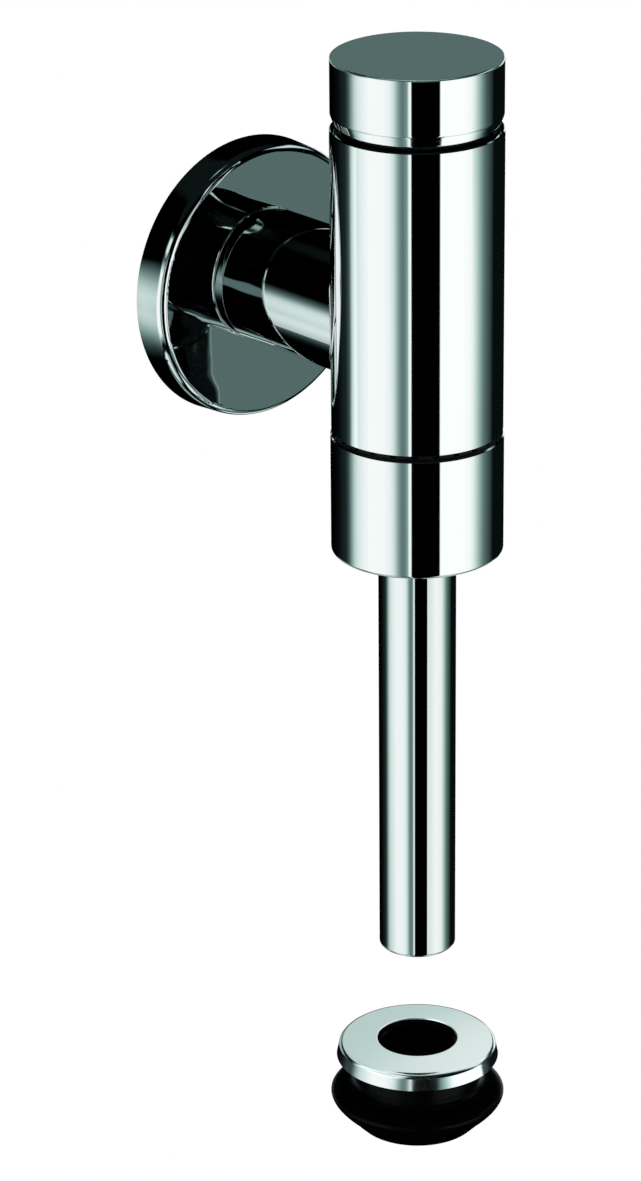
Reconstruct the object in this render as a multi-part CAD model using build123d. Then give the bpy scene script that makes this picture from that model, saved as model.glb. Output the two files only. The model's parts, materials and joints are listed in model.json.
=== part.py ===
from build123d import *
import math
import os

# An exposed, self-closing urinal flush valve, in millimetres.
# The origin is on the axis of the inlet, where it meets the wall. +Z is up, and the valve stands out towards -Y.
# A brass column carries everything: a stub towards the wall, a self-closing piston cartridge inside, a push
# cap on top, and a collar below that holds the flush tube. The urinal connector hangs below the tube, ready
# to be pushed up over its end.

# The column, its cap and its collar: radii and heights over the inlet axis
PROJECTION = 59.0
BODY_R = 19.6
BODY_TOP = 47.0
BODY_LOW = -23.7
CAP_R = 19.45
CAP_TOP = 63.5
CAP_LOW = 47.65
CAP_LOW_R = 18.4
CAP_BEVEL = 2.9
COLLAR_R = 19.8
COLLAR_TOP = -25.1
COLLAR_LOW = -53.5

# The inlet stub and the wall rosette, which hangs on the nipple by the play in its hole
STUB_R = 15.77
STUB_END = -9.7
NIPPLE_R = 12.36
THREAD_R = 10.48
THREAD_END = 14.0
THREAD_START = -1.5
WATERWAY_R = 7.5
NIPPLE_RINGS = (-18.2, -21.6)
SET_SCREW_Y = -14.0
SET_SCREW_R = 2.5
SET_SCREW_GROOVE = 0.6
ROSETTE_R = 33.1
ROSETTE_FRONT_R = 32.6
ROSETTE_DEPTH = 8.3
ROSETTE_SHEET = 1.1
ROSETTE_HOLE_R = 14.0
ROSETTE_DROP = ROSETTE_HOLE_R - NIPPLE_R - 0.02

# The flush tube and the urinal connector
TUBE_R = 9.0
TUBE_WALL = 1.0
TUBE_END = -155.0
RING_TOP = -181.0
RING_R = 19.4
RING_TOP_R = 17.3
RING_HEIGHT = 4.3
RING_RISE = 0.3
RING_FALL = 0.2
RING_SHEET = 1.2
RING_HOLE_R = 9.5
LIP_R = 20.75

# The bore of the body and the cartridge in it
CHAMBER_R = 16.0
SHELF = 42.4
SEAT_POCKET_R = 14.0
SEAT_SHELF = -16.0
POCKET_TOP = -11.0
OUTLET_R = 12.5
NECK_R = 16.5
NECK_LOW = -36.0
COLLAR_SHELF = -40.1
SLEEVE_R = 13.8
BORE_R = 12.0
SEAT_R = 8.0
SEAT_TOP = -12.05
HEAD_UNDER = 29.0
STEM_R = 4.0
NOSE_R = 2.5
NOSE_END = 18.6
STEM_RINGS = (34.2, 38.2)
JET_PLACE = 6.6
JET_R = 0.95

# The stem's idle travel, and the clearances between pieces that slide and pieces that are put in
IDLE = 0.4
RUNNING = 0.08
SLIP = 0.05

# Wire springs: mean radius, wire radius, turns
RETURN_COIL = (9.5, 0.6, 5)
PISTON_COIL = (8.1, 0.45, 6)
PILOT_COIL = (2.35, 0.25, 7)


def turned(points):
    """A solid turned about Z from the outline of its half section, as (radius, height)."""
    outline = make_face(Polyline(*points, close=True))
    return revolve(Plane.XZ * outline, Axis.Z)


def turned_on_y(points):
    """A solid turned about Y from the outline of its half section, as (radius, distance along Y)."""
    outline = make_face(Polyline(*points, close=True))
    return revolve(outline, Axis.Y)


def ring(inner, outer, low, high):
    """A plain ring about Z."""
    return turned([(inner, low), (outer, low), (outer, high), (inner, high)])


def rod(radius, low, high):
    """A plain round bar about Z."""
    return Pos(0, 0, low) * Cylinder(radius, high - low, align=(Align.CENTER, Align.CENTER, Align.MIN))


def rod_on_y(radius, start, end):
    """A plain round bar about Y."""
    bar = Cylinder(radius, end - start, align=(Align.CENTER, Align.CENTER, Align.MIN))
    return Pos(0, start, 0) * Rot(-90, 0, 0) * bar


def o_ring(radius, section, height):
    """A rubber ring about Z."""
    return Pos(0, 0, height) * Torus(radius, section)


def edges_at(part, radius, height):
    """The circular edges about Z of one radius at one height."""
    found = part.edges().filter_by(GeomType.CIRCLE)
    return [e for e in found if abs(e.radius - radius) < 0.01 and abs(e.center().Z - height) < 0.01]


def edges_at_y(part, radius, depth):
    """The circular edges about Y of one radius at one depth."""
    found = part.edges().filter_by(GeomType.CIRCLE)
    return [e for e in found if abs(e.radius - radius) < 0.01 and abs(e.center().Y - depth) < 0.01]


def coil(name, size, low, high):
    """A compression spring about Z, as one unbroken wire between two seats."""
    radius, wire, turns = size
    start = low + wire + SLIP
    pitch = (high - low - 2 * (wire + SLIP)) / turns
    halves = 2 * turns

    def place(half):
        angle = math.pi * half
        return Vector(radius * math.cos(angle), radius * math.sin(angle), start + pitch * half / 2)

    def heading(half):
        angle = math.pi * half
        rise = pitch / (2 * math.pi)
        return Vector(-radius * math.sin(angle), radius * math.cos(angle), rise).normalized()

    arcs = []
    for half in range(halves):
        a, b = place(half), place(half + 1)
        ta, tb = heading(half), heading(half + 1)
        span = b - a
        both = span.dot(ta + tb)
        spread = 2 * (1 - ta.dot(tb))
        reach = (math.sqrt(both * both + spread * span.dot(span)) - both) / spread
        middle = (a + b + (ta - tb) * reach) * 0.5
        first = Edge.make_tangent_arc(a, ta, middle)
        arcs.append(first)
        arcs.append(Edge.make_tangent_arc(middle, first % 1, b))
    path = Wire(arcs)
    section = Plane(origin=path @ 0, z_dir=path % 0) * Circle(wire)
    print(name, "least gap between turns", round(pitch - 2 * wire, 2), "length of wire", round(path.length, 1))
    return sweep(section, path=path)


def on_column(part):
    """Moves a piece from the Z axis to the axis of the column."""
    return Pos(0, -PROJECTION, 0) * part


def valve_body():
    """The casting: a turned column with the inlet stub, its bores, and the threaded neck for the collar."""
    rim = 18.8
    bevel = 0.25
    outside = turned([
        (0, NECK_LOW), (NECK_R, NECK_LOW), (NECK_R, BODY_LOW), (BODY_R, BODY_LOW),
        (BODY_R, BODY_TOP - bevel), (BODY_R - bevel, BODY_TOP), (0, BODY_TOP),
    ])
    outside -= air_slots(15.2, NECK_LOW - 1, BODY_LOW - 0.6)
    body = on_column(outside) + rod_on_y(STUB_R, -PROJECTION, STUB_END)
    joint = [e for e in body.edges() if e.geom_type == GeomType.BSPLINE]
    body = fillet(joint, 0.8)
    body = fillet(edges_at_y(body, STUB_R, STUB_END), 0.5)
    inside = turned([
        (0, NECK_LOW - 1), (OUTLET_R, NECK_LOW - 1), (OUTLET_R, SEAT_SHELF), (SEAT_POCKET_R, SEAT_SHELF),
        (SEAT_POCKET_R, POCKET_TOP), (CHAMBER_R, POCKET_TOP), (CHAMBER_R, SHELF), (rim, SHELF),
        (rim, BODY_TOP + 1), (0, BODY_TOP + 1),
    ])
    socket_end = -24.0
    body -= on_column(inside)
    body -= rod_on_y(NIPPLE_R + 0.04, socket_end, STUB_END + 1)
    body -= rod_on_y(WATERWAY_R + 0.5, -PROJECTION, socket_end + 1)
    body -= Pos(0, SET_SCREW_Y, 0) * rod(SET_SCREW_R + 0.02, -STUB_R - 1, -NIPPLE_R + 1)
    return body


def inlet_nipple():
    """The nipple: a G 1/2 thread towards the wall, and a plain end with two ring grooves in the stub."""
    plain = turned_on_y([
        (WATERWAY_R, THREAD_END), (THREAD_R - 1, THREAD_END), (THREAD_R, THREAD_END - 1),
        (THREAD_R, THREAD_START), (NIPPLE_R, THREAD_START), (NIPPLE_R, -23.9), (WATERWAY_R, -23.9),
    ])
    hub = NIPPLE_R - SET_SCREW_GROOVE
    outside = NIPPLE_R + 1
    grooves = [(hub, SET_SCREW_Y, 2)] + [(10.9, y, 1) for y in NIPPLE_RINGS]
    for floor, y, half in grooves:
        plain -= turned_on_y([(floor, y - half), (outside, y - half), (outside, y + half), (floor, y + half)])
    return plain


def nipple_o_rings():
    """Two rubber rings in the nipple's grooves."""
    rings = [Pos(0, y, 0) * Rot(90, 0, 0) * Torus(11.63, 0.7) for y in NIPPLE_RINGS]
    return Compound(children=rings)


def nipple_set_screw():
    """A headless screw with a hexagon socket, from below the stub into the nipple's groove."""
    tip = -(NIPPLE_R - SET_SCREW_GROOVE) - 0.05
    screw = rod(SET_SCREW_R, -STUB_R + 0.4, -NIPPLE_R - 0.1) + rod(1.6, -STUB_R + 0.4, tip)
    socket = Pos(0, 0, -STUB_R + 0.4) * extrude(RegularPolygon(1.45, 6), 1.6)
    return Pos(0, SET_SCREW_Y, 0) * (screw - socket)


def inlet_strainer():
    """A cup with a perforated floor in the wall end of the nipple."""
    outside = WATERWAY_R - SLIP
    cup = turned_on_y([
        (0, 8.0), (outside, 8.0), (outside, 13.4), (outside - 0.8, 13.4), (outside - 0.8, 8.8), (0, 8.8),
    ])
    holes = []
    for pitch_r, count in ((1.9, 6), (3.7, 12), (5.4, 18)):
        for i in range(count):
            turn = 2 * math.pi * i / count
            holes.append(Pos(pitch_r * math.cos(turn), 0, pitch_r * math.sin(turn)) * rod_on_y(0.55, 7, 10))
    return cup - holes


def flow_limiter():
    """An orifice ring pressed in the front end of the nipple."""
    outside = WATERWAY_R - SLIP
    return turned_on_y([(3.2, -20.5), (outside, -20.5), (outside, -17.5), (5.2, -17.5)])


def wall_rosette():
    """The cover plate: a shallow pressed dish with a rounded front edge and a hole for the nipple."""
    edge = 1.9
    back = ROSETTE_DEPTH - ROSETTE_SHEET
    dish = turned_on_y([
        (ROSETTE_HOLE_R, -ROSETTE_DEPTH), (ROSETTE_FRONT_R, -ROSETTE_DEPTH), (ROSETTE_R, 0),
        (ROSETTE_R - ROSETTE_SHEET, 0), (ROSETTE_FRONT_R - ROSETTE_SHEET, -back), (ROSETTE_HOLE_R, -back),
    ])
    dish = fillet(edges_at_y(dish, ROSETTE_FRONT_R, -ROSETTE_DEPTH), edge)
    dish = fillet(edges_at_y(dish, ROSETTE_FRONT_R - ROSETTE_SHEET, -back), edge - ROSETTE_SHEET + 0.1)
    return Pos(0, 0, -ROSETTE_DROP) * dish


def seat_ring():
    """The brass seat: a flange in the body's pocket, with a raised land and a ring groove outside."""
    outside = SEAT_POCKET_R - SLIP
    land = 9.2
    seat = turned([
        (SEAT_R, SEAT_SHELF), (outside, SEAT_SHELF), (outside, -13.0), (land, -13.0), (land - 0.3, SEAT_TOP),
        (SEAT_R + 0.2, SEAT_TOP), (SEAT_R, SEAT_TOP - 0.4),
    ])
    return seat - ring(12.7, outside + 1, -15.3, -13.9)


def cartridge_sleeve():
    """The piston's cylinder, with six windows for the water and a ring groove at its top."""
    low = -13.0
    windows = 6
    sleeve = ring(BORE_R, SLEEVE_R, low + 0.02, HEAD_UNDER - SLIP)
    for i in range(windows):
        window = Pos(BORE_R + 1, 0, -4.0) * Box(6, 7.5, 12)
        window = fillet(window.edges().filter_by(Axis.X), 2.0)
        sleeve -= Rot(0, 0, 360 * i / windows) * window
    return sleeve - ring(12.9, SLEEVE_R + 1, 26.4, 27.9)


def cartridge_head():
    """The plug: a thread in the body, a flange on its shelf, glands for the rings, a guide for the stem."""
    thread = CHAMBER_R - SLIP
    flange = 18.5
    top = SHELF + 2.0
    rim_top = top + 2.1
    head = turned([
        (STEM_R + RUNNING, HEAD_UNDER + 2), (7, HEAD_UNDER + 2), (7, HEAD_UNDER), (SLEEVE_R + 0.1, HEAD_UNDER),
        (SLEEVE_R + 0.1, 25), (thread, 25), (thread, SHELF), (flange, SHELF), (flange, top), (14.2, top),
        (14.2, rim_top), (12.8, rim_top), (12.8, top), (STEM_R + RUNNING, top),
    ])
    head -= ring(14.6, thread + 1, 38.6, 40.6)
    for z in STEM_RINGS:
        head -= ring(STEM_R, 5.95, z - 1.05, z + 1.05)
    for i in range(4):
        head -= Rot(0, 0, 90 * i) * Pos(11.4, 0, 0) * rod(1.0, top - 3, top + 1)
    return head


def stem_o_rings():
    """Two rubber rings that seal the stem."""
    return Compound(children=[o_ring(5.0, 0.92, z) for z in STEM_RINGS])


def cap_guide():
    """The black collar on the head, which the cap slides on and which shows in the gap under the cap."""
    low = SHELF + 2.0
    return turned([
        (14.25, low), (18.3, low), (18.3, low + 1.2), (16.2, low + 1.2), (16.2, 55.4), (15.7, 55.9), (14.25, 55.9),
    ])


def push_cap():
    """The cap: a thick round top with a short skirt, bevelled below so that it can dip into the body."""
    inside = 16.2 + RUNNING
    under = CAP_TOP - 3.2
    cap = turned([
        (0, CAP_TOP), (CAP_R, CAP_TOP), (CAP_R, CAP_LOW + CAP_BEVEL), (CAP_LOW_R, CAP_LOW), (inside, CAP_LOW),
        (inside, under), (0, under),
    ])
    cap = fillet(edges_at(cap, CAP_R, CAP_LOW + CAP_BEVEL), 1.2)
    return fillet(edges_at(cap, CAP_R, CAP_TOP), 0.5)


def cap_carrier():
    """The plastic disc in the cap, with a boss on the stem and ribs between."""
    top = CAP_TOP - 3.2
    low = top - 1.8
    boss = 5.5
    boss_low = 53.0
    disc = turned([
        (0, top), (16.2, top), (16.2, low), (boss, low), (boss, boss_low), (NOSE_R + 0.02, boss_low),
        (NOSE_R + 0.02, 59.0), (0, 59.0),
    ])
    for i in range(6):
        rib = Pos(12.15, 0, low - 0.6) * Box(3.3, 1.2, 1.2)
        disc += Rot(0, 0, 60 * i) * rib
    return disc


def push_stem():
    """The stem under the cap: a shoulder for the carrier, a groove for the circlip, a thin nose below."""
    stem = turned([
        (0, NOSE_END), (NOSE_R - 0.3, NOSE_END), (NOSE_R, NOSE_END + 0.3), (NOSE_R, 28.5), (STEM_R, 28.5),
        (STEM_R, 53.0), (NOSE_R, 53.0), (NOSE_R, 58.6), (NOSE_R - 0.3, 58.9), (0, 58.9),
    ])
    return stem - ring(3.3, STEM_R + 1, 30.05, 30.95)


def stem_circlip():
    """A split steel ring in the stem's groove."""
    clip = ring(3.32, 6.2, 30.1, 30.9)
    return clip - Pos(5, 0, 30.5) * Box(6, 2.4, 2)


def piston():
    """The piston: a guided disc, a hub for the lip seal, and a hollow stem that carries the washer."""
    guide = BORE_R - RUNNING
    chamber = 3.6
    body = turned([
        (1.9, 13.0), (1.9, 9.0), (chamber, 9.0), (chamber, -15.0), (4.5, -15.0), (4.5, -9.5), (9.8, -9.5),
        (9.8, -7.5), (5.5, -7.5), (5.5, 8.0), (9.9, 8.0), (9.9, 3.0), (guide, 3.0), (guide, 10.5), (8.8, 10.5),
        (8.8, 13.0),
    ])
    body -= Pos(JET_PLACE, 0, 0) * rod(JET_R, 7, 14)
    for i in range(6):
        body -= Rot(0, 0, 60 * i + 30) * Pos(11, 0, 4.0) * Box(4, 3.2, 3.4)
    return body


def bypass_jet():
    """A brass plug with a fine hole, through which the chamber over the piston fills."""
    plug = rod(JET_R - 0.02, 8.2, 12.8) - rod(0.3, 8, 13)
    return Pos(JET_PLACE, 0, 0) * plug


def piston_lip_seal():
    """A rubber cup on the piston's hub."""
    return turned([
        (8.84, 10.55), (11.6, 10.55), (11.92, 13.2), (11.3, 13.2), (10.7, 11.7), (10.0, 11.7), (9.6, 12.9),
        (8.84, 12.9),
    ])


def washer_nut():
    """A hexagon nut under the seat washer."""
    nut = Pos(0, 0, -14.6) * extrude(RegularPolygon(6.9, 6), 2.6)
    return nut - rod(4.52, -15, -11)


def pilot_pin():
    """The relief pin: a long nose towards the stem, a disc under the seal, a tail in the spring."""
    top = NOSE_END - IDLE
    return turned([
        (0, 1.0), (1.2, 1.0), (1.2, 6.8), (3.0, 6.8), (3.0, 7.8), (1.3, 7.8), (1.3, top - 0.3), (1.0, top),
        (0, top),
    ])


def outlet_collar():
    """The union sleeve: it screws on the body's neck and holds the interrupter and the tube."""
    floor = COLLAR_LOW + 2.3
    collar = turned([
        (TUBE_R + 0.1, COLLAR_LOW), (COLLAR_R, COLLAR_LOW), (COLLAR_R, COLLAR_TOP - 0.25),
        (COLLAR_R - 0.25, COLLAR_TOP), (NECK_R + 0.1, COLLAR_TOP), (NECK_R + 0.1, COLLAR_SHELF),
        (14.5, COLLAR_SHELF), (14.5, floor), (TUBE_R + 0.1, floor),
    ])
    return fillet(edges_at(collar, COLLAR_R, COLLAR_LOW), 0.8)


def air_slots(floor, low, high):
    """Four slots in the outside of a round piece, which lead the interrupter's air down from the seam."""
    middle = (low + high) / 2
    return [Rot(0, 0, 45 + 90 * i) * Pos(floor + 2, 0, middle) * Box(4, 4, high - low) for i in range(4)]


def air_gap_ring():
    """The black ring in the seam, with slots through which the interrupter draws air."""
    seam = ring(NECK_R + 0.05, BODY_R - 0.8, COLLAR_TOP + SLIP, BODY_LOW - SLIP)
    middle = (COLLAR_TOP + BODY_LOW) / 2
    for i in range(24):
        seam -= Rot(0, 0, 15 * i) * Pos(BODY_R - 0.8, 0, middle) * Box(1.6, 1.4, 0.7)
    return seam


def interrupter_nozzle():
    """The jet: a funnel under the neck that throws the water across the air gap."""
    low = NECK_LOW - 2
    jet = turned([
        (11.5, NECK_LOW), (16.4, NECK_LOW), (16.4, low), (11.4, low), (7.4, -40.6), (6.4, -43.5), (5.0, -43.5),
        (5.0, -40.2),
    ])
    return jet - air_slots(14.0, low - 1, NECK_LOW + 1)


def interrupter_insert():
    """The catch cup: air comes in through its windows, and the jet lands in its funnel."""
    top = NECK_LOW - 2
    floor = COLLAR_LOW + 4.3
    cup = turned([
        (12.2, top), (16.4, top), (16.4, COLLAR_SHELF), (13.7, COLLAR_SHELF), (13.7, floor), (7.9, floor),
        (8.6, floor + 1.8), (12.2, floor + 2.8),
    ])
    for i in range(6):
        cup -= Rot(0, 0, 60 * i) * Pos(13, 0, -43.0) * Box(4, 6.0, 3.0)
    return cup - air_slots(13.9, COLLAR_SHELF - 1, top + 1)


def flush_tube():
    """The tube: turned out at the top end to hang in the collar, plain at the bottom end."""
    top = COLLAR_LOW + 3.3
    inside = TUBE_R - TUBE_WALL
    tube = turned([
        (inside, TUBE_END), (TUBE_R, TUBE_END), (TUBE_R, top - 1.0), (13.0, top - 1.0), (13.0, top), (inside, top),
    ])
    return fillet(edges_at(tube, TUBE_R, TUBE_END), 0.8)


def connector_ring():
    """The cover ring: a slightly domed top, a rolled rim and a short skirt over the rubber's flange."""
    low = RING_TOP - RING_HEIGHT
    top = RING_TOP
    roll_r = RING_TOP_R + 1.5
    roll_low = top - 1.2
    crown = top + RING_RISE
    edge = top - RING_FALL
    middle = crown - 0.43 * (crown - edge)
    dome = ThreePointArc((RING_HOLE_R, crown), ((RING_HOLE_R + RING_TOP_R) / 2, middle), (RING_TOP_R, edge))
    rim = TangentArc((RING_TOP_R, edge), (roll_r, roll_low), tangent=dome % 1)
    rest = Polyline(
        (roll_r, roll_low), (RING_R, low + 0.3), (RING_R - 0.3, low), (RING_R - 0.9, low),
        (RING_R - 0.9, low + 1.1), (roll_r - 0.8, top - 1.9), (RING_TOP_R - 0.4, top - RING_SHEET),
        (RING_HOLE_R, top - RING_SHEET), (RING_HOLE_R, crown),
    )
    cover = revolve(Plane.XZ * make_face(dome + rim + rest), Axis.Z)
    return fillet(edges_at(cover, RING_HOLE_R, crown), 0.35)


def connector_rubber():
    """The grommet: a flange in the ring, a neck for the urinal's wall, a wide lip, and a tapered nose."""
    top = RING_TOP - RING_SHEET
    bore = TUBE_R + RUNNING
    flange = RING_R - 1.1
    neck = 15.0
    nose_r = 14.3
    neck_low = RING_TOP - 9.9
    nose_low = RING_TOP - 21.6
    outline = Polyline(
        (bore + 0.6, top), (RING_TOP_R - 0.8, top), (flange - 0.5, RING_TOP - 2.4), (flange, RING_TOP - 3.4),
        (flange, RING_TOP - 3.9), (neck + 0.2, RING_TOP - 4.7), (neck, RING_TOP - 5.5), (neck, neck_low),
    )
    lip = Spline(
        (neck, neck_low), (17.0, RING_TOP - 11.8), (19.6, RING_TOP - 12.5), (LIP_R, RING_TOP - 13.5),
        (20.45, RING_TOP - 15.0), (19.6, RING_TOP - 16.2), (18.5, RING_TOP - 17.4), (17.0, RING_TOP - 18.8),
        (nose_r, nose_low),
        tangents=[(0.2, -1), (-0.8, -0.8)],
    )
    nose = Polyline(
        (nose_r, nose_low), (11.4, nose_low), (10.4, RING_TOP - 19.5), (bore, RING_TOP - 18.1),
        (bore, top - 0.6), (bore + 0.6, top),
    )
    return revolve(Plane.XZ * make_face(outline + lip + nose), Axis.Z)


def column_pieces():
    """Every piece that is centred on the column."""
    head_top = SHELF + 2.0
    return {
        "seat_ring": seat_ring(),
        "seat_o_ring": o_ring(13.33, 0.6, -14.6),
        "cartridge_sleeve": cartridge_sleeve(),
        "sleeve_o_ring": o_ring(13.35, 0.43, 27.15),
        "cartridge_head": cartridge_head(),
        "head_o_ring": o_ring(15.27, 0.66, 39.6),
        "stem_o_rings": stem_o_rings(),
        "cap_guide": cap_guide(),
        "push_cap": push_cap(),
        "cap_carrier": cap_carrier(),
        "push_stem": push_stem(),
        "stem_circlip": stem_circlip(),
        "return_spring": coil("return_spring", RETURN_COIL, head_top, CAP_TOP - 5.0),
        "piston": piston(),
        "piston_lip_seal": piston_lip_seal(),
        "seat_washer": ring(4.55, 10.2, SEAT_TOP + SLIP, -9.5),
        "washer_nut": washer_nut(),
        "bypass_jet": bypass_jet(),
        "piston_spring": coil("piston_spring", PISTON_COIL, 13.0, HEAD_UNDER),
        "pilot_pin": pilot_pin(),
        "pilot_seal": ring(1.32, 3.0, 7.8, 8.95),
        "pilot_spring": coil("pilot_spring", PILOT_COIL, -4.0, 6.8),
        "pilot_spring_seat": ring(1.6, 3.58, -6.0, -4.0),
        "air_gap_ring": air_gap_ring(),
        "outlet_collar": outlet_collar(),
        "interrupter_nozzle": interrupter_nozzle(),
        "interrupter_insert": interrupter_insert(),
        "tube_gasket": ring(8.2, 13.4, COLLAR_LOW + 3.3, COLLAR_LOW + 4.3),
        "flush_tube": flush_tube(),
        "connector_ring": connector_ring(),
        "connector_rubber": connector_rubber(),
    }


def inlet_pieces():
    """The body and every piece that is centred on the inlet."""
    return {
        "valve_body": valve_body(),
        "wall_rosette": wall_rosette(),
        "inlet_nipple": inlet_nipple(),
        "nipple_o_rings": nipple_o_rings(),
        "nipple_set_screw": nipple_set_screw(),
        "inlet_strainer": inlet_strainer(),
        "flow_limiter": flow_limiter(),
    }


os.makedirs("parts", exist_ok=True)
pieces = inlet_pieces()
for name, piece in column_pieces().items():
    pieces[name] = on_column(piece)
for name, piece in pieces.items():
    export_step(piece, "parts/" + name + ".step")
print(len(pieces), "pieces")
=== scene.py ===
import bpy
import json
import math
from mathutils import Matrix, Vector

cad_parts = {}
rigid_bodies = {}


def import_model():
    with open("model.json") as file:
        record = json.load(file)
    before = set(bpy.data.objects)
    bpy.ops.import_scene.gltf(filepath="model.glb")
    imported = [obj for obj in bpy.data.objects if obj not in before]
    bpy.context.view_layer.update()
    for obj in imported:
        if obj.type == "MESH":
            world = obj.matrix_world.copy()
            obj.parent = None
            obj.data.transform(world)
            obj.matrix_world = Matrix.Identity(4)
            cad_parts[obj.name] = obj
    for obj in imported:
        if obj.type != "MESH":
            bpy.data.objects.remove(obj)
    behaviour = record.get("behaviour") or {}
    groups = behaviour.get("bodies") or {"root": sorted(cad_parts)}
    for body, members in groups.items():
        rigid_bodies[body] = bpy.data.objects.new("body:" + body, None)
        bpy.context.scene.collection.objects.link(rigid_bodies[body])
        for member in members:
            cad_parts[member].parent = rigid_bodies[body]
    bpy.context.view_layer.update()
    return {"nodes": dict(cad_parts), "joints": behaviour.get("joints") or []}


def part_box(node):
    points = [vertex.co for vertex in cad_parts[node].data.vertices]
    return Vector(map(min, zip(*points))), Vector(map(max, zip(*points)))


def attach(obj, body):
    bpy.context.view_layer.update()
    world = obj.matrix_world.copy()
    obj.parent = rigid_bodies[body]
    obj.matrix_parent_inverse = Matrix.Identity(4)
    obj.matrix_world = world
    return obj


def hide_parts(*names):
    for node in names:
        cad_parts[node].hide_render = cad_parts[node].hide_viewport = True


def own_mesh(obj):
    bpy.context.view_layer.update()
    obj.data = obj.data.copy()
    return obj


# An exposed, self-closing urinal flush valve in mirror chrome, in metres. The inlet's axis meets the wall at the
# origin, the valve stands out towards -Y, and +Z is up.
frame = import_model()
bpy.ops.object.select_all(action="DESELECT")


# The camera: in front of the valve and to its left, a metre off and looking down on it with a long lens. FOCUS is its
# focal length in the pixels of a picture that is PICTURE_HEIGHT high.
PROJECTION = 0.059
CAMERA_HEIGHT = 0.35506
SENSOR = 36.0
FOCUS, PICTURE_HEIGHT = 4695, 1181
TURN, TURN_IN, PITCH, ROLL = (math.radians(angle) for angle in (-43.16, 1.28, 22.75, -0.51))

towards_camera = Vector((math.sin(TURN), -math.cos(TURN), 0))
image_right = Vector((math.cos(TURN), math.sin(TURN), 0))
heading = TURN + TURN_IN
forward = Vector((-math.sin(heading) * math.cos(PITCH), math.cos(heading) * math.cos(PITCH), -math.sin(PITCH)))
sideways = Vector((math.cos(heading), math.sin(heading), 0))
upward = sideways.cross(forward)
right = sideways * math.cos(ROLL) + upward * math.sin(ROLL)
above = upward * math.cos(ROLL) - sideways * math.sin(ROLL)

camera = bpy.data.objects.new("camera", bpy.data.cameras.new("camera"))
bpy.context.collection.objects.link(camera)
camera.matrix_world = Matrix((right, above, -forward)).transposed().to_4x4()
camera.matrix_world.translation = Vector((0, -PROJECTION, CAMERA_HEIGHT)) + towards_camera
camera.data.sensor_fit = "VERTICAL"
camera.data.sensor_height = SENSOR
camera.data.lens = FOCUS / PICTURE_HEIGHT * SENSOR
bpy.context.scene.camera = camera
bpy.context.scene.view_settings.view_transform = "Standard"


# The studio: mirror chrome shows the room, so the room is planned by the angle round the valve, from -180 to 180 with
# the camera at 0, and by the angle over the horizon. It has a broad soft white panel each side, a black gap for the
# camera, dim walls behind, a light strip over each panel, and teal grey where the right panel is left to the lamps.
class Val:
    """A socket that takes part in sums: each operator adds its Math node."""
    def __init__(self, shade, made, out=0):
        self.shade, self.made = shade, made
        self.socket = made.outputs[out] if len(made.outputs) else None

    def out(self, name):
        return Val(self.shade, self.made, name)

    def math(self, operation, *values):
        return self.shade.node("ShaderNodeMath", {"operation": operation}, *values)

    def __add__(self, other): return self.math("ADD", self, other)
    def __radd__(self, other): return self.math("ADD", other, self)
    def __sub__(self, other): return self.math("SUBTRACT", self, other)
    def __rsub__(self, other): return self.math("SUBTRACT", other, self)
    def __mul__(self, other): return self.math("MULTIPLY", self, other)
    def __rmul__(self, other): return self.math("MULTIPLY", other, self)
    def __truediv__(self, other): return self.math("DIVIDE", self, other)
    def __pow__(self, other): return self.math("POWER", self, other)

    def soft(self, start, end):
        """0 before start, 1 after end, and a smooth rise between them."""
        return self.shade.node("ShaderNodeMapRange", {"interpolation_type": "SMOOTHSTEP"}, self, start, end)

    def band(self, start, full, fading, end):
        """1 from full to fading, 0 outside start and end, and smooth between them."""
        return self.soft(start, full) * self.soft(end, fading)


class Shade:
    """The node tree of a material, light or world."""
    def __init__(self, owner):
        owner.use_nodes = True
        self.owner, self.tree = owner, owner.node_tree

    def node(self, kind, settings, *values, **named):
        made = self.tree.nodes.new(kind)
        stops = settings.pop("stops", None)
        for key, value in settings.items():
            setattr(made, key, value)
        if stops:
            ramp = made.color_ramp
            while len(ramp.elements) < len(stops):
                ramp.elements.new(0.5)
            for element, (position, colour) in zip(ramp.elements, stops):
                element.position = position
            for element, (position, colour) in zip(ramp.elements, stops):
                element.color = (*colour, 1) if isinstance(colour, tuple) else (colour, colour, colour, 1)
        places = list(enumerate(values)) + [(key.replace("_", " "), value) for key, value in named.items()]
        for key, value in places:
            if isinstance(value, Val):
                self.tree.links.new(value.socket, made.inputs[key])
            else:
                made.inputs[key].default_value = value
        return Val(self, made)

    def split(self, vector):
        axes = self.node("ShaderNodeSeparateXYZ", {}, vector)
        return axes, axes.out(1), axes.out(2)


DEGREES = 180 / math.pi
LIGHT_PLAN = [(-180, 0), (-150, 0), (-128, 0.003), (-109, 0.018), (-102.5, 0.075), (-96.5, 0.3), (-90.5, 0.62),
              (-84, 0.78), (-76, 0.87), (-66, 0.95), (-45, 0.94), (-37, 0.88), (-31, 0.72), (-26.5, 0.42),
              (-22.8, 0.24), (-18.7, 0.165), (-15.5, 0.23), (-12.8, 0.3), (-10.8, 0.85), (-8.9, 1), (-8, 1),
              (-7.1, 0), (29.6, 0), (30.4, 1), (62, 1), (75, 0.94), (80, 0.84), (86, 0.61), (92, 0.38),
              (98, 0.2), (105, 0.11), (120, 0.004)]
COOL_WHITE = [(0, (0, 0, 0)), (0.06, (0.034, 0.06, 0.058)), (0.2, (0.125, 0.2, 0.19)), (0.4, (0.285, 0.4, 0.378)),
              (0.62, (0.495, 0.62, 0.59)), (0.85, (0.78, 0.85, 0.83)), (1, (0.985, 1, 0.99))]
TEAL_LEVEL = 0.142
TEAL = (0.089, TEAL_LEVEL, 0.137)
RIGHT_SIDE = (29, 29.1)
LOWERED = 26
FOOT_OF_WALL = (-51, -47, -34, -30)
CHROME_REFLECTS = 0.85
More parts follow.
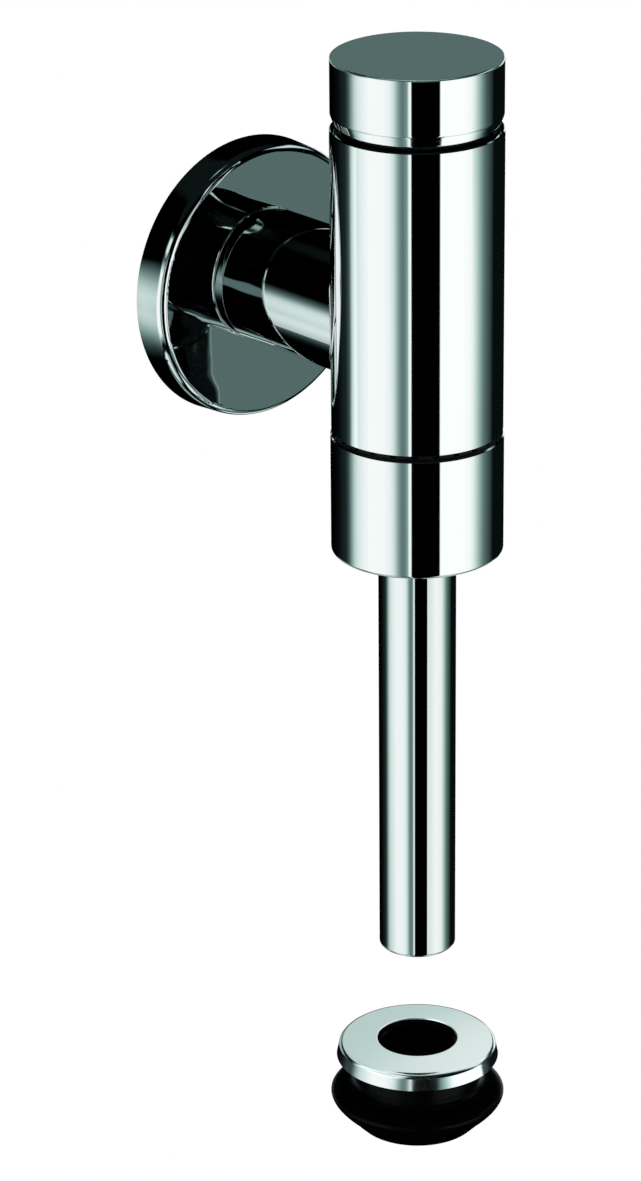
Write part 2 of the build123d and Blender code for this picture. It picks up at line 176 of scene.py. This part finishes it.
GLOSS_LOSS = 1 / CHROME_REFLECTS


def reach(shade, gaze):
    """How far gaze goes towards the camera, to the picture's right, and up."""
    x, y, z = shade.split(gaze)
    return towards_camera.x * x + towards_camera.y * y, image_right.x * x + image_right.y * y, z


def angles(shade, gaze):
    """Where gaze points: the angle round the valve and the angle over the horizon."""
    ahead, aside, up = reach(shade, gaze)
    turn = ahead.math("ARCTAN2", aside, ahead) * DEGREES
    tilt = ahead.math("ARCTAN2", up, (ahead * ahead + aside * aside) ** 0.5) * DEGREES
    return turn, tilt


def planned(shade, turn):
    stops = [((angle + 180) / 360, level) for angle, level in LIGHT_PLAN]
    return shade.node("ShaderNodeValToRGB", {"stops": stops}, (turn + 180) / 360)


def cool_white(shade, level):
    return shade.node("ShaderNodeValToRGB", {"stops": COOL_WHITE}, level)


def walls(shade, turn, tilt, lowered=0):
    """The panels round the valve. The left one reaches round behind it, and leans; the right one may be lower."""
    behind = turn.soft(-62, -84)
    lean = tilt.math("MINIMUM", tilt + 20, 0) * -0.6 * behind
    front = (tilt + lowered * turn.soft(58, 80)).soft(18, 6) * tilt.soft(-42, -33)
    back = tilt.band(-46, -22, -14, 10)
    return planned(shade, turn + lean) * (front * (1 - behind) + back * behind)


def far_wall(turn):
    """What stands behind the valve, for views from there: a white panel and a grey one."""
    panels = 0.1 + 0.35 * turn.band(-172, -150, -135, -104) + 0.8 * turn.soft(128, 142)
    return panels * turn.math("ABSOLUTE", turn).band(100, 114, 166, 172)


room = bpy.data.worlds.new("room")
bpy.context.scene.world = room
shade = Shade(room)
shade.tree.nodes.clear()
turn, tilt = angles(shade, shade.node("ShaderNodeTexCoord", {}).out("Generated"))
right_limit = 1 - turn.soft(*RIGHT_SIDE) * (1 - TEAL_LEVEL)
level = turn.math("MINIMUM", walls(shade, turn, tilt, LOWERED), right_limit)
level = level + 0.4 * tilt.soft(80, 88) + 0.0065 * tilt.soft(43, 46)
level = turn.math("MAXIMUM", level, far_wall(turn) * tilt.band(-16, -13, 5, 9))
high = 0.8 * turn.band(-86, -62, -34, -22) + 0.7 * turn.band(88, 96, 118, 132)
level = turn.math("MAXIMUM", level, high * tilt.band(15, 21, 30, 36))
lit = shade.node("ShaderNodeBackground", {}, cool_white(shade, level), GLOSS_LOSS)
white = shade.node("ShaderNodeBackground", {}, (1, 1, 1, 1), 1)
sky = shade.node("ShaderNodeMixShader", {}, shade.node("ShaderNodeLightPath", {}), lit, white)
shade.node("ShaderNodeOutputWorld", {}, sky)


# The lamps: soft panels that light single pieces. The pieces stand at different heights and reflect different parts of
# the room, so each one has the panels set for it, as a product photographer sets cards by hand.
def lamp(name, centre, offset, size, state, *nodes):
    """An area lamp, so tall and so wide, that faces centre and falls on these nodes only, or on all but these."""
    tall, wide = size
    made = bpy.data.objects.new(name, bpy.data.lights.new(name, "AREA"))
    bpy.context.collection.objects.link(made)
    made.data.shape, made.data.size, made.data.size_y = "RECTANGLE", tall, wide
    away = Vector(offset).normalized()
    across = Vector((0, 1, 0)).cross(away).normalized()
    made.matrix_world = Matrix((across, away.cross(across), away)).transposed().to_4x4()
    made.matrix_world.translation = Vector(centre) + Vector(offset)
    made.data.energy = math.pi * tall * wide
    made.visible_camera = False
    group = bpy.data.collections.new(name + "_falls_on")
    made.light_linking.receiver_collection = group
    for node in nodes:
        group.objects.link(frame["nodes"][node])
    for place in group.collection_objects:
        place.light_linking.link_state = state
    shade = Shade(made.data)
    shade.tree.nodes.clear()
    spot = shade.node("ShaderNodeNewGeometry", {})
    return shade, shade.node("ShaderNodeVectorMath", {"operation": "SUBTRACT"}, spot, centre)


def panel(*settings):
    """A lamp that is planned as the room is, by the angles under which its centre sees it."""
    shade, gaze = lamp(*settings)
    return shade, *angles(shade, gaze)


def shine(shade, colour, strength=GLOSS_LOSS):
    shade.node("ShaderNodeOutputLight", {}, shade.node("ShaderNodeEmission", {}, colour, strength))


def beyond_teal(shade, level):
    """What a lamp adds to the room's own teal, to reach the colour of a level."""
    rest = shade.node("ShaderNodeVectorMath", {"operation": "SUBTRACT"}, cool_white(shade, level), TEAL)
    return shade.node("ShaderNodeVectorMath", {"operation": "MAXIMUM"}, rest, (0, 0, 0))


def around(angle):
    """The way from the valve to a lamp at this angle round it."""
    side = math.radians(angle)
    return (towards_camera * math.cos(side) + image_right * math.sin(side)) * LAMPS_OFF


LAMPS_OFF = 8
COLUMN = (0, -PROJECTION, 0)
CAP_TOP, CAP_BEVEL = (0, -PROJECTION, 0.0635), (0, -PROJECTION, 0.049)
RING_TOP, RING_EDGE = (0, -PROJECTION, -0.181), (0, -PROJECTION, -0.183)

# The body: the right panel hangs low, and a faint one lights its left edge.
shade, turn, tilt = panel("right_panel_body", COLUMN, around(65), (14, 14), "INCLUDE", "valve_body")
shine(shade, beyond_teal(shade, walls(shade, turn, tilt, LOWERED)), turn.soft(*RIGHT_SIDE) * GLOSS_LOSS)

shade, turn, tilt = panel("left_panel_body", COLUMN, around(-90), (12, 14), "INCLUDE", "valve_body")
leaned = turn - 0.9 * tilt.math("MINIMUM", tilt + 20, 0)
level = leaned.soft(-101, -95) * turn.soft(-84, -90) * tilt.band(-42, -34, -7, 3)
shine(shade, level * (0.26 + 0.13 * tilt.soft(-15, -28)))

# The right panel of all the pieces that have none of their own, and the tube's, a little greyer at its near edge.
own = ("valve_body", "wall_rosette", "connector_ring", "flush_tube")
shade, turn, tilt = panel("right_panel", COLUMN, around(65), (14, 14), "EXCLUDE", *own)
shine(shade, beyond_teal(shade, walls(shade, turn, tilt)), turn.soft(*RIGHT_SIDE) * GLOSS_LOSS)

shade, turn, tilt = panel("right_panel_tube", COLUMN, around(65), (14, 14), "INCLUDE", "flush_tube")
level = walls(shade, turn, tilt) * (0.8 + 0.16 * turn.soft(31, 60) + 0.2 * turn.soft(33, 30))
shine(shade, beyond_teal(shade, level), turn.soft(*RIGHT_SIDE) * GLOSS_LOSS)

# The lower parts of the far wall, and the floor under the panels, for views from behind and from above.
shade, turn, tilt = panel("far_wall_low", COLUMN, around(180), (46, 44), "INCLUDE", "flush_tube", "outlet_collar")
level = tilt.band(-19.4, -17.8, -16, -13) + tilt.band(*FOOT_OF_WALL)
shine(shade, cool_white(shade, far_wall(turn) * level))

shade, turn, tilt = panel("far_wall_foot", COLUMN, around(150), (46, 30), "INCLUDE", "valve_body")
shine(shade, cool_white(shade, far_wall(turn) * turn.soft(108, 116) * tilt.band(*FOOT_OF_WALL)))

own = ("push_cap", "cap_guide", "air_gap_ring", "connector_rubber")
shade, turn, tilt = panel("floor_panel", COLUMN, (0, 0, -2), (5, 5), "EXCLUDE", *own)
level = 0.8 * turn.math("MAXIMUM", planned(shade, turn), far_wall(turn))
shine(shade, cool_white(shade, level * tilt.band(-76, -70, -51, -47)))

# The rosette: its own narrow right panel, with the glint of a window beside the camera, and a panel for its back.
shade, turn, tilt = panel("right_panel_rosette", COLUMN, around(33), (16, 14), "INCLUDE", "wall_rosette")
window = 0.16 * turn.band(-7, -4, 2, 5) * tilt.band(-11, -9, -1, 1)
level = walls(shade, turn, tilt) * turn.band(29.5, 30.5, 50, 58) * tilt.soft(-34, -28)
both = shade.node("ShaderNodeVectorMath", {"operation": "ADD"}, beyond_teal(shade, level), cool_white(shade, window))
shine(shade, both)

shade, turn, tilt = panel("rosette_back_panel", COLUMN, around(-140), (16, 16), "INCLUDE", "wall_rosette")
shine(shade, cool_white(shade, 0.5 * turn.band(-168, -150, -130, -112) * tilt.band(-32, -18, 0, 12)))

# The cap: a dim ceiling for its top, and under it the floor's light on the bevel.
shade, turn, tilt = panel("cap_ceiling", CAP_TOP, (0, 0, 2), (24, 24), "INCLUDE", "push_cap")
shine(shade, cool_white(shade, TEAL_LEVEL * tilt.band(10, 13, 35, 38) + 0.3 * tilt.soft(50, 70)))

shade, turn, tilt = panel("cap_bounce", CAP_BEVEL, (0, 0, -1), (6, 6), "INCLUDE", "push_cap")
level = planned(shade, turn * (0.64 + 0.0013 * turn.math("ABSOLUTE", turn)))
shine(shade, cool_white(shade, level * (0.03 + 0.97 * turn.soft(-119, -110)) * tilt.soft(-34, -46)))

# The connector ring: a close white card over its top, brighter to the right, with a gap that draws the dark line
# along its front edge, and panels at both sides of its edge.
shade, gaze = lamp("ring_ceiling", RING_TOP, (0, 0, 0.08), (1, 1), "INCLUDE", "connector_ring")
ahead, aside = reach(shade, gaze)[:2]
level = (0.6 + 0.2 * (aside + 0.3 * (ahead + 0.15)).soft(-0.03, 0.04)) * aside.band(-0.16, -0.12, 0.12, 0.16)
shine(shade, cool_white(shade, level * (ahead.soft(0.03, 0) + ahead.soft(0.14, 0.18))))

shade, turn, tilt = panel("ring_panels", RING_EDGE, around(60), (50, 14), "INCLUDE", "connector_ring")
level = turn.band(26, 56, 112, 124) * tilt.soft(4, -4) + turn.band(-34, -24, -11, -2)
shine(shade, cool_white(shade, level * tilt.soft(-42, -33)))

shade, turn, tilt = panel("ring_left_panel", RING_EDGE, around(-60), (50, 14), "INCLUDE", "connector_ring")
shine(shade, cool_white(shade, 0.8 * turn.band(-112, -94, -30, -14) * tilt.soft(2, 14)))


# The floor: plain and white, a long way down, because the valve hangs at the height it has on its wall. The chrome
# doesn't mirror it, so that the planned room stays as it is.
FLOOR_DOWN = 1.15
bpy.ops.mesh.primitive_circle_add(vertices=96, radius=40, fill_type="NGON", location=(0, 0, -FLOOR_DOWN))
floor = bpy.context.object
floor.name = "floor"
pale = bpy.data.materials.new("pale_floor")
shade = Shade(pale)
shade.tree.nodes.clear()
shade.node("ShaderNodeOutputMaterial", {}, shade.node("ShaderNodeEmission", {}, (1, 1, 1, 1), 1))
floor.data.materials.append(pale)
floor.visible_glossy = floor.visible_diffuse = floor.visible_shadow = False
bpy.ops.object.select_all(action="DESELECT")


# The body: a hollow brass casting, turned, polished by hand and chromium plated. The hand polish leaves the
# surface very slightly wavy, so the reflections in it run a little crooked.
class Finish(Shade):
    """A material with one Principled shader, for pieces of one make."""
    def __init__(self, name, **settings):
        super().__init__(bpy.data.materials.new(name))
        self.shader = self.tree.nodes["Principled BSDF"]
        self.set(**settings)
        self.where = self.node("ShaderNodeTexCoord", {}).out("Object")

    def set(self, **settings):
        for key, value in settings.items():
            key = key.replace("_", " ")
            if isinstance(value, Val):
                self.tree.links.new(value.socket, self.shader.inputs[key])
            else:
                self.shader.inputs[key].default_value = (*value, 1) if isinstance(value, tuple) else value

    def noise(self, size, detail=2, rough=0.5):
        return self.node("ShaderNodeTexNoise", {}, Vector=self.where, Scale=1 / size, Detail=detail, Roughness=rough)

    def colours(self, share, first, second):
        """The base colour runs from first to second as share goes from 0 to 1."""
        self.set(Base_Color=self.node("ShaderNodeValToRGB", {"stops": [(0, first), (1, second)]}, share))

    def relief(self, *layers):
        """Bumps on bumps, each a height from 0 to 1 and how high 1 is."""
        below = None
        for height, high in layers:
            below = self.node("ShaderNodeBump", {}, Strength=1, Distance=high, Height=height,
                              **({"Normal": below} if below else {}))
        self.set(Normal=below)

    def on(self, *nodes):
        for name in nodes:
            faces = frame["nodes"][name].data
            faces.materials.clear()
            faces.materials.append(self.owner)
        return self


def chrome(name, wave, swell, haze=0.018, tint=(0.84, 0.86, 0.86)):
    """Mirror chrome: a swell left by polishing the brass, a breath of haze, and wipe marks too fine to see as lines."""
    made = Finish(name, Metallic=1.0)
    wiped = made.noise(0.014, 4, 0.6)
    made.haze = haze + 1.5 * haze * wiped
    made.set(Roughness=made.haze)
    made.colours(wiped, tint, tuple(0.985 * part for part in tint))
    made.relief((made.noise(wave, 1), swell), (made.noise(0.0011, 2), 0.0000001))
    return made


chrome("cast_chrome", wave=0.08, swell=0.0001).on("valve_body")


# The push cap: turned from solid brass, with a plain top and a bevel at its lower edge, and plated. The bevel is out
# of the polishing wheel's reach, so it stays a little duller.
BEVEL_TOP, BEVEL_FADE = 0.0508, 0.0005
cap_chrome = chrome("cap_chrome", wave=0.03, swell=0.000004).on("push_cap")
dull = cap_chrome.split(cap_chrome.where)[2].soft(BEVEL_TOP, BEVEL_TOP - BEVEL_FADE)
cap_chrome.set(Roughness=cap_chrome.haze + 0.04 * dull)


# What is under the cap: a moulded collar that the cap slides on, and the disc that joins the cap to its stem.
# Both are black acetal with the fine grain of their mould, glossier in some spots than in others.
def moulded(name, dark, light, grain, satin, **settings):
    """Moulded plastic: the mould's fine grain, and the slow streaks that the plastic leaves as it flows in."""
    made = Finish(name, **settings)
    flow = made.noise(0.009, 3)
    made.colours(flow, dark, light)
    made.set(Roughness=satin - 0.06 + 0.12 * made.noise(0.002, 2))
    made.relief((made.noise(0.00035, 2), grain), (flow, 3 * grain))
    return made


black = moulded("black_plastic", dark=(0.003, 0.003, 0.0032), light=(0.006, 0.006, 0.0062), grain=0.000004, satin=0.5,
                Specular_IOR_Level=0.2)
black.on("cap_guide", "cap_carrier")


# The cartridge head, the stem and the small turned parts: free-machining brass, left bare. The tool's feed shows as
# fine rings round the column, 0.4 mm from one to the next, and the water has dulled them here and there.
FEED_MARKS = 16000


def turned_brass(name, radius, along):
    """Bare turned brass, with the feed marks of the tool round its axis."""
    made = Finish(name, Metallic=1.0)
    across, rise = radius(made), along(made)
    chatter = made.noise(0.004, 2)
    rings = ((across + rise + 0.0001 * chatter) * FEED_MARKS).math("SINE") * 0.5 + 0.5
    dulled = made.noise(0.006, 5, 0.65).soft(0.4, 0.75)
    made.colours(dulled, (0.8, 0.61, 0.31), (0.5, 0.34, 0.16))
    made.set(Roughness=0.17 + 0.2 * dulled + 0.05 * rings)
    made.relief((rings, 0.000004), (made.noise(0.0008, 3), 0.000003))
    return made


def from_column(made):
    x, y, z = made.split(made.where)
    return (x * x + (y + PROJECTION) ** 2) ** 0.5


def up_column(made):
    return made.split(made.where)[2]


turned_brass("turned_brass", from_column, up_column).on(
    "cartridge_head", "push_stem", "seat_ring", "washer_nut", "bypass_jet", "pilot_pin", "pilot_spring_seat")


# The three springs and the circlip on the stem: stainless spring steel, drawn through a die, so that fine
# scratches run along it, with a faint straw tint from the stress relief. The springs are pieces of their own: a
# merged copy of each spring's node, hung on the body of its joint's parent.
def drawn_steel(name, dark, light):
    """Stainless wire and strip, with fine drawing scratches."""
    made = Finish(name, Metallic=1.0)
    scratch = made.noise(0.0004, 4, 0.7)
    made.colours(made.noise(0.003, 3), dark, light)
    made.set(Roughness=0.2 + 0.2 * scratch)
    made.relief((scratch, 0.0000015))
    return made


TOUCHING = 0.000001
spring_steel = drawn_steel("spring_steel", dark=(0.5, 0.5, 0.48), light=(0.66, 0.65, 0.61)).on("stem_circlip")
for joint in frame["joints"]:
    for shortened in joint.get("deforming_nodes", []):
        spring = shortened["node"]
        lowest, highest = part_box(spring)
        coil = bpy.data.objects.new("coiled_" + spring, frame["nodes"][spring].data.copy())
        bpy.context.collection.objects.link(coil)
        coil.select_set(True)
        bpy.context.view_layer.objects.active = coil
        bpy.ops.object.mode_set(mode="EDIT")
        bpy.ops.mesh.select_all(action="SELECT")
        bpy.ops.mesh.remove_doubles(threshold=TOUCHING)
        bpy.ops.object.mode_set(mode="OBJECT")
        bpy.ops.object.shade_smooth_by_angle(angle=math.radians(40))
        coil.data.materials.clear()
        coil.data.materials.append(spring_steel.owner)
        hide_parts(spring)
        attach(coil, joint["parent"])
        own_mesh(coil)
        bpy.ops.object.select_all(action="DESELECT")


# The piston and the sleeve that it slides in: both moulded in white acetal, which lets a little light in at its
# edges. The cartridge head holds the sleeve down on the seat.
moulded("white_plastic", dark=(0.78, 0.79, 0.76), light=(0.86, 0.87, 0.84), grain=0.000003, satin=0.38,
        Subsurface_Weight=0.12, Subsurface_Radius=[0.0012, 0.0012, 0.001], Subsurface_Scale=1.0).on(
    "piston", "cartridge_sleeve")


# The rubber seals on head, sleeve, stem, seat, piston, pilot pin, nipple and tube: moulded in nitrile rubber,
# a soft black sheen, with the faint bloom that comes out of the rubber in time.
def rubber(name, dark, bloom, sheen, **settings):
    """Moulded rubber: dark, with a soft sheen, a faint bloom and the mould's fine grain."""
    made = Finish(name, **settings)
    cloud = made.noise(0.005, 4, 0.6)
    made.colours(cloud.soft(0.45, 0.8), dark, bloom)
    made.set(Roughness=sheen - 0.04 + 0.14 * cloud)
    made.relief((made.noise(0.0005, 3), 0.000005))
    return made


rubber("seal_rubber", dark=(0.006, 0.006, 0.0065), bloom=(0.014, 0.014, 0.015), sheen=0.38, Specular_IOR_Level=0.4).on(
    "head_o_ring", "sleeve_o_ring", "stem_o_rings", "seat_o_ring", "seat_washer", "piston_lip_seal", "pilot_seal",
    "nipple_o_rings", "tube_gasket")


# The inlet nipple: turned brass, plated on its plain end, which shows in the slit between rosette and stub. The
# other end is a half inch pipe thread, cut into the bare brass: 14 turns to the inch, with rounded crests. It is spun
# from its outline, a line of radii and places along the inlet's axis, and the thread is then cut into its outside.
THREAD_PITCH, CREST, ROOT = 0.001814, 0.01048, 0.00932
THREAD_LOW, THREAD_HIGH, CHAMFER = 0.0006, 0.014, 0.0012
FLAT, ROUNDING, SLACK = 0.14, 0.35, 0.0001
BORE, PLAIN, RING_GROOVE, SCREW_GROOVE = 0.0075, 0.01236, 0.0109, 0.01176
NECK_END, INNER_END = -0.0015, -0.0239
EDGE, NECK_EDGE, FINE_EDGE = 0.0004, 0.0003, 0.0002
ROWS, STEPS = 96, 112

outline = [(BORE, THREAD_HIGH), (ROOT - FINE_EDGE, THREAD_HIGH)]
outline += [(CREST, THREAD_HIGH - (THREAD_HIGH - THREAD_LOW) * row / ROWS) for row in range(1, ROWS + 1)]
outline += [(ROOT, THREAD_LOW - NECK_EDGE), (ROOT, NECK_END + NECK_EDGE), (ROOT + NECK_EDGE, NECK_END),
            (PLAIN - FINE_EDGE, NECK_END), (PLAIN, NECK_END - FINE_EDGE)]
for start, end, bottom in ((-0.012, -0.016, SCREW_GROOVE), (-0.0172, -0.0192, RING_GROOVE),
                           (-0.0206, -0.0226, RING_GROOVE)):
    outline += [(PLAIN, start), (bottom, start), (bottom, end), (PLAIN, end)]
outline += [(PLAIN, INNER_END + EDGE), (PLAIN - EDGE, INNER_END), (BORE, INNER_END)]

bpy.ops.mesh.primitive_circle_add(vertices=len(outline), radius=PLAIN)
nipple = bpy.context.object
nipple.name = "threaded_nipple"
for corner, (radius, along) in zip(nipple.data.vertices, outline):
    corner.co = (radius, along, 0)
bpy.ops.object.mode_set(mode="EDIT")
bpy.ops.mesh.select_all(action="SELECT")
bpy.ops.mesh.spin(steps=STEPS, angle=math.tau, center=(0, 0, 0), axis=(0, 1, 0))
bpy.ops.mesh.select_all(action="SELECT")
bpy.ops.mesh.remove_doubles(threshold=TOUCHING)
bpy.ops.mesh.normals_make_consistent(inside=False)
bpy.ops.object.mode_set(mode="OBJECT")
for corner in nipple.data.vertices:
    x, y, z = corner.co
    radius = math.hypot(x, z)
    if y > THREAD_LOW - SLACK and radius > ROOT:
        phase = (y / THREAD_PITCH + math.atan2(z, x) / math.tau) % 1
        flank = min(max((abs(2 * phase - 1) - FLAT) / (1 - 2 * FLAT), 0), 1)
        rounded = flank * flank * (3 - 2 * flank)
        cut = ROOT + (CREST - ROOT) * (ROUNDING * rounded + (1 - ROUNDING) * flank)
        cut = min(cut, CREST - max(0, y - THREAD_HIGH + CHAMFER))
        corner.co = (x * cut / radius, y, z * cut / radius)
bpy.ops.object.shade_smooth_by_angle(angle=math.radians(32))


def from_inlet(made):
    x, y, z = made.split(made.where)
    return (x ** 2 + z ** 2) ** 0.5


def along_inlet(made):
    return made.split(made.where)[1]


nipple.data.materials.append(turned_brass("nipple_brass", from_inlet, along_inlet).owner)
nipple.data.materials.append(chrome("nipple_chrome", wave=0.018, swell=0.0005).owner)
for face in nipple.data.polygons:
    centre = face.center
    outside = math.hypot(centre.x, centre.z) > RING_GROOVE - EDGE
    face.material_index = 1 if outside and centre.y < NECK_END + SLACK else 0
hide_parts("inlet_nipple")
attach(nipple, "valve")
bpy.ops.object.select_all(action="DESELECT")


# In the nipple: a strainer pressed from stainless sheet, the moulded flow limiter, and from below the headless
# steel screw that locks the body.
drawn_steel("sheet_steel", dark=(0.58, 0.59, 0.6), light=(0.66, 0.67, 0.67)).on("inlet_strainer", "nipple_set_screw")
grey = moulded("grey_plastic", dark=(0.4, 0.43, 0.45), light=(0.48, 0.51, 0.53), grain=0.000004, satin=0.42)
grey.on("flow_limiter")


# The wall rosette: a dish pressed from brass sheet, polished and plated. Pressed sheet is wavier than a casting. The
# inside of the dish is plated as well, but nobody polished it, so it is dull and cloudy.
SHEET, SHEET_FADE = 0.0011, 0.0002
lowest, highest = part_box("wall_rosette")
dish_chrome = chrome("dish_chrome", wave=0.018, swell=0.0005).on("wall_rosette")
x, y, z = dish_chrome.split(dish_chrome.where)
from_middle = (x * x + (z - (lowest.z + highest.z) / 2) ** 2) ** 0.5
behind_plate = y.soft(lowest.y + SHEET - 2 * SHEET_FADE, lowest.y + SHEET)
within_rim = from_middle.soft(highest.x - 3 * SHEET_FADE, highest.x - 4 * SHEET_FADE)
cloudy = 0.2 + 0.16 * dish_chrome.noise(0.006, 4, 0.6)
dish_chrome.set(Roughness=dish_chrome.haze + behind_plate * within_rim * cloudy)


# The seam between body and collar: a black moulded ring with slots, through which the pipe interrupter draws air.
# It is clamped between the two when the collar is screwed on.
black.on("air_gap_ring")


# The outlet collar: turned brass, plated, screwed on the body's neck. In it sit the interrupter's two mouldings in
# grey plastic, the jet and under it the cup with the air windows.
chrome("turned_chrome", wave=0.03, swell=0.000004).on("outlet_collar")
grey.on("interrupter_nozzle", "interrupter_insert")


# The flush tube: drawn brass tube, plated. Its top end is turned out and held in the collar with a rubber gasket, and
# its lower end is cut square, with a rounded edge.
chrome("drawn_chrome", wave=0.03, swell=0.000006, tint=(0.79, 0.815, 0.81)).on("flush_tube")


# The urinal connector: a cover ring pressed from brass sheet, plated and less finely polished, over a grommet of black
# rubber. The two slide up over the tube's end together.
chrome("satin_chrome", wave=0.02, swell=0.000003, haze=0.075).on("connector_ring")
rubber("grommet_rubber", dark=(0.0012, 0.0015, 0.0015), bloom=(0.002, 0.0024, 0.0024), sheen=0.24,
       Specular_IOR_Level=0.06).on("connector_rubber")
